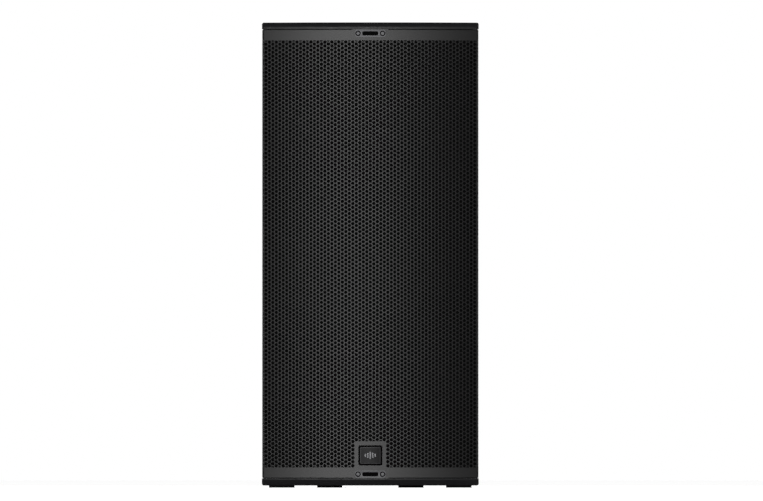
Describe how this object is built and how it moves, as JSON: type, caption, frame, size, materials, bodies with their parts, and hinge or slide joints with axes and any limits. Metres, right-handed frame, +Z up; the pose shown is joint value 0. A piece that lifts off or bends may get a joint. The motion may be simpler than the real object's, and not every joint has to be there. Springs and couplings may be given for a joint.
{
  "type": "pa speaker cabinet",
  "caption": "Tall powered loudspeaker cabinet with a curved perforated steel grille over woofers, ports and a horn, for live sound and public address.",
  "frame": {"origin": "on the floor, under the middle of the cabinet's width and depth", "axes": "+Z up, the curved grille faces -Y, the amplifier faces +Y, and +X is on the right of someone who looks at the grille"},
  "size_m": [0.524, 0.5, 1.124],
  "materials": {
    "paint": "plywood with a black textured paint",
    "plywood": "bare birch plywood, with the visible rear wall painted",
    "grille": "black powder coat on perforated steel sheet",
    "cloth": "black acoustically open scrim",
    "badge": "satin dark grey",
    "screws": "bright zinc plate",
    "fly_points": "black oxide steel",
    "rubber": "matt black",
    "cast_frames": "black painted die casting",
    "magnets": "ferrite ring between black steel plates",
    "cones": "doped paper pulp",
    "surrounds": "treated cambric",
    "spiders": "phenolic-treated cloth",
    "coil_formers": "glass fibre former with copper winding",
    "mouldings": "fine-textured black moulding",
    "diaphragm": "thin metal foil",
    "anodised": "black anodised",
    "zinc": "bright zinc",
    "circuit_board": "green solder mask",
    "cables": "black sheath"
  },
  "bodies": {
    "cabinet": {"amp_board": "circuit_board", "amp_chassis": "zinc", "amp_plate": "anodised", "badge": "badge", "bottom_panel": "paint", "clamp_screw_bottom_left": "screws", "clamp_screw_bottom_right": "screws", "clamp_screw_top_left": "screws", "clamp_screw_top_right": "screws", "driver_cover": "mouldings", "driver_magnet": "magnets", "fly_point_left": "fly_points", "fly_point_right": "fly_points", "front_baffle": "plywood", "front_foot_left": "rubber", "front_foot_right": "rubber", "grille": "grille", "grille_clamp_bottom": "grille", "grille_clamp_top": "grille", "grille_cloth": "cloth", "handle_bar_left": "rubber", "handle_bar_right": "rubber", "handle_dish_left": "mouldings", "handle_dish_right": "mouldings", "heat_sink": "anodised", "horn": "mouldings", "horn_driver_cable": "cables", "input_socket_1": "mouldings", "input_socket_2": "mouldings", "left_side_panel": "paint", "lower_woofer_basket": "cast_frames", "lower_woofer_cable": "cables", "lower_woofer_magnet": "magnets", "lower_woofer_spider": "spiders", "lower_woofer_surround": "surrounds", "phase_plug": "mouldings", "port_tube_left": "mouldings", "port_tube_right": "mouldings", "power_inlet": "mouldings", "rear_foot_left": "rubber", "rear_foot_right": "rubber", "rear_panel": "plywood", "right_side_panel": "paint", "shelf_brace": "plywood", "top_panel": "paint", "upper_woofer_basket": "cast_frames", "upper_woofer_cable": "cables", "upper_woofer_magnet": "magnets", "upper_woofer_spider": "spiders", "upper_woofer_surround": "surrounds"},
    "lower_cone": {"lower_woofer_cone": "cones", "lower_woofer_voice_coil": "coil_formers"},
    "upper_cone": {"upper_woofer_cone": "cones", "upper_woofer_voice_coil": "coil_formers"},
    "driver_dome": {"driver_diaphragm": "diaphragm"},
    "encoder_shaft": {"encoder_shaft": "zinc"},
    "encoder_knob": {"encoder_knob": "rubber"},
    "power_rocker": {"power_rocker": "mouldings"},
    "latch_tab_1": {"latch_tab_1": "zinc"},
    "latch_tab_2": {"latch_tab_2": "zinc"}
  },
  "joints": [
    {"name": "lower_woofer_excursion", "type": "slide", "parent": "cabinet", "child": "lower_cone", "axis": [0, -1, 0], "range_m": [-0.008, 0.008], "stiffness_N_per_m": 4800, "deforming": ["lower_woofer_surround", "lower_woofer_spider"]},
    {"name": "upper_woofer_excursion", "type": "slide", "parent": "cabinet", "child": "upper_cone", "axis": [0, -1, 0], "range_m": [-0.008, 0.008], "stiffness_N_per_m": 4800, "deforming": ["upper_woofer_surround", "upper_woofer_spider"]},
    {"name": "driver_dome_excursion", "type": "slide", "parent": "cabinet", "child": "driver_dome", "axis": [0, -1, 0], "range_m": [-0.0003, 0.0003], "stiffness_N_per_m": 20000},
    {"name": "encoder_push", "type": "slide", "parent": "cabinet", "child": "encoder_shaft", "axis": [0, -1, 0], "range_m": [0, 0.0006], "stiffness_N_per_m": 4000},
    {"name": "encoder_turn", "type": "hinge", "parent": "encoder_shaft", "child": "encoder_knob", "pos_m": [0.048, 0.2393, 0.52], "axis": [0, 1, 0], "continuous": true},
    {"name": "power_rocker_turn", "type": "hinge", "parent": "cabinet", "child": "power_rocker", "pos_m": [0.0155, 0.2274, 0.176], "axis": [1, 0, 0], "range_deg": [0, 24]},
    {"name": "latch_tab_1_press", "type": "slide", "parent": "cabinet", "child": "latch_tab_1", "axis": [0, -1, 0], "range_m": [0, 0.0018], "stiffness_N_per_m": 1500},
    {"name": "latch_tab_2_press", "type": "slide", "parent": "cabinet", "child": "latch_tab_2", "axis": [0, -1, 0], "range_m": [0, 0.0018], "stiffness_N_per_m": 1500}
  ]
}
